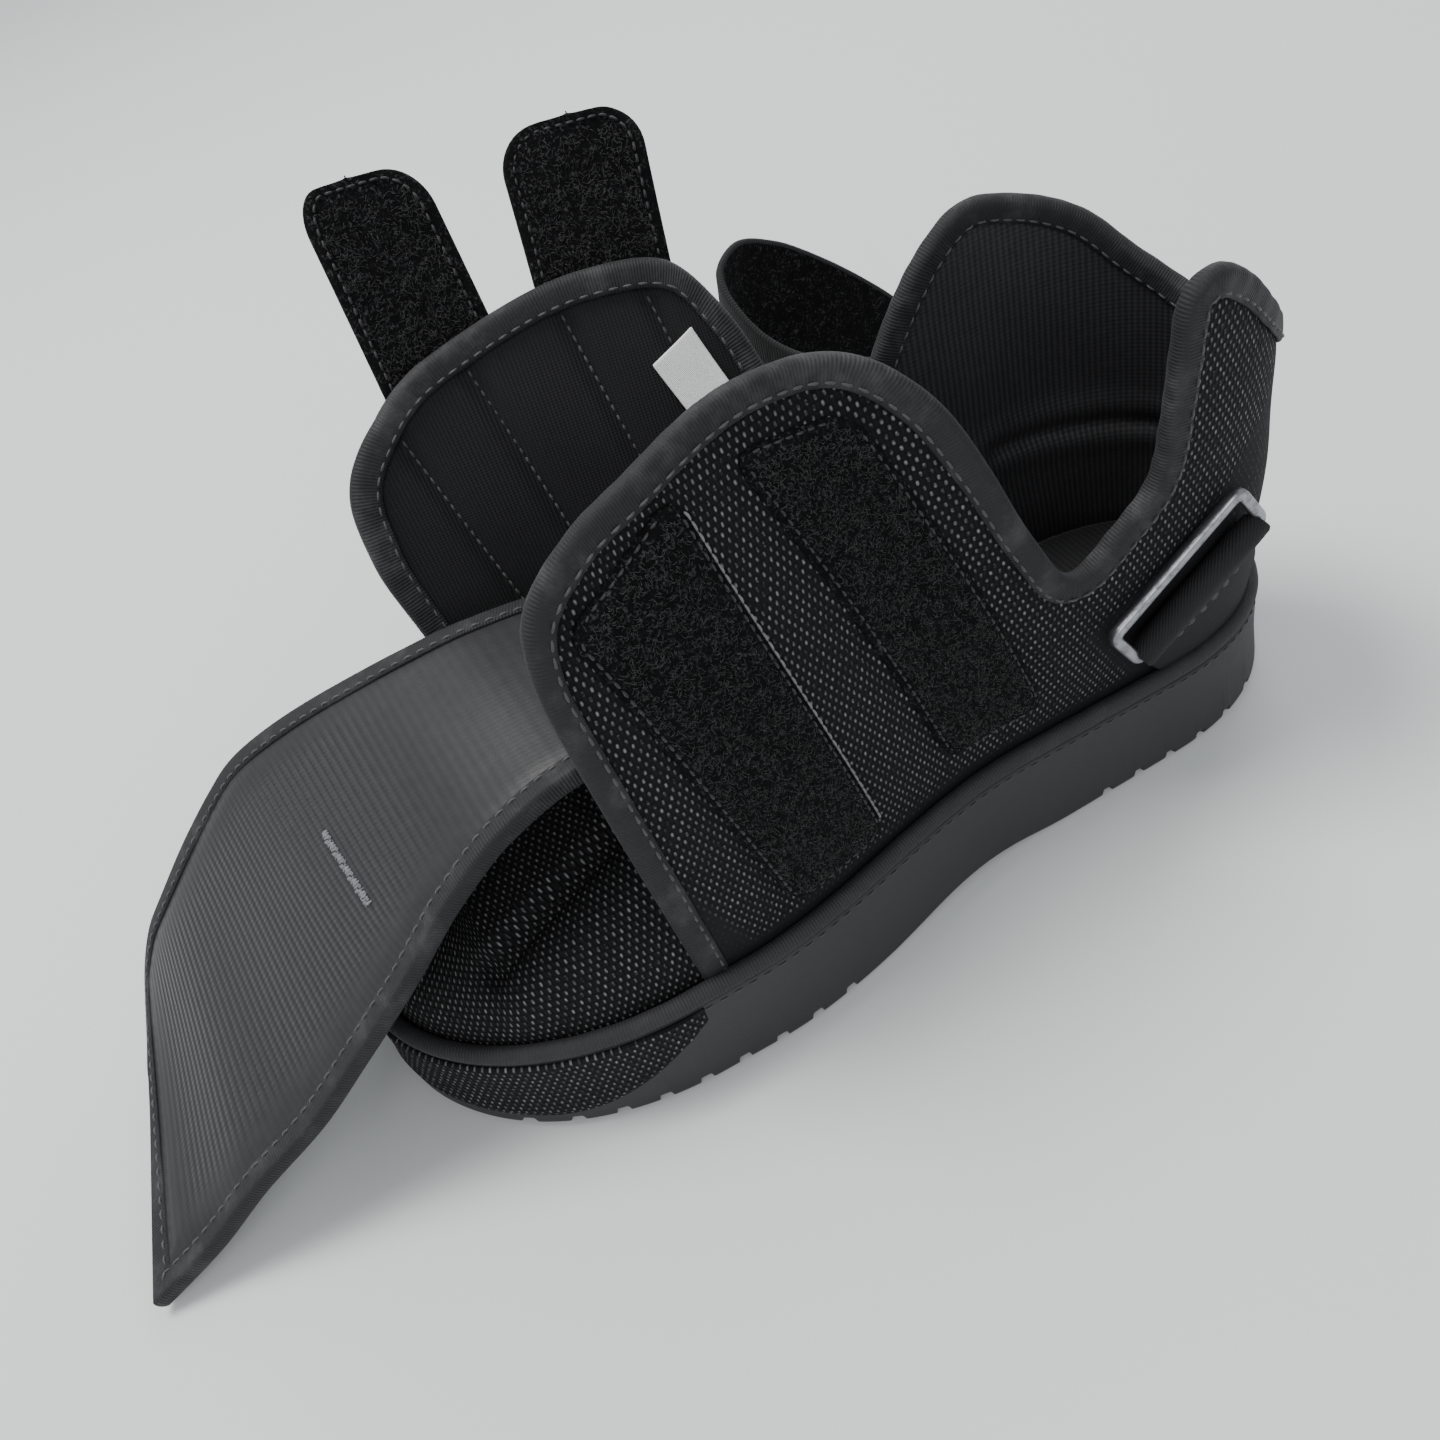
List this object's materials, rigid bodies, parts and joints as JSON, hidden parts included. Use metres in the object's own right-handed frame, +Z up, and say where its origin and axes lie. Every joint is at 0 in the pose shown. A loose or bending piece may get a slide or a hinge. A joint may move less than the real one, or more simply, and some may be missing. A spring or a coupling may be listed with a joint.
{
  "type": "post operative shoe",
  "caption": "Open post operative shoe: mesh upper with closed toe, strap flaps spread wide, padded tongue folded over the toe, ankle strap, metal ring, thick flat sole.",
  "frame": {"origin": "centre of the heel's flat spot on the floor", "axes": "+Z up from the floor, -Y along the sole towards the toe, +X towards the outer side of the left foot, where the metal ring is"},
  "size_m": [0.154, 0.3245, 0.1662],
  "materials": {
    "sole_rubber": "matt moulded foam rubber",
    "piping_cloth": "fine woven tape, slight sheen",
    "mesh_cloth": "coarse air mesh, matt, pale grey flecks",
    "binding_cloth": "folded stretch tape, worn paler at the bends",
    "lining_cloth": "fine ribbed lining, soft sheen",
    "insole_cloth": "matt knitted cover",
    "loop_fastener": "deep matt loop pile",
    "webbing": "flat woven webbing, matt",
    "ring_metal": "bright wire, softly worn",
    "label_cloth": "plain satin tape"
  },
  "bodies": {
    "shoe": {"sole": "sole_rubber", "insole": "insole_cloth", "piping": "piping_cloth", "upper": "mesh_cloth", "binding": "binding_cloth", "tongue": "lining_cloth", "loop_band_front": "loop_fastener", "loop_band_rear": "loop_fastener", "instep_strap_front": "loop_fastener", "instep_strap_rear": "loop_fastener", "size_label": "label_cloth", "ankle_strap": "loop_fastener", "ring_webbing": "webbing"},
    "ring": {"ring": "ring_metal"}
  },
  "joints": [
    {"name": "ring_hinge", "type": "hinge", "parent": "shoe", "child": "ring", "pos_m": [0.03941, -0.00077, 0.05741], "axis": [-0.0115, 0.8491, 0.5281], "range_deg": [0, 140]}
  ]
}
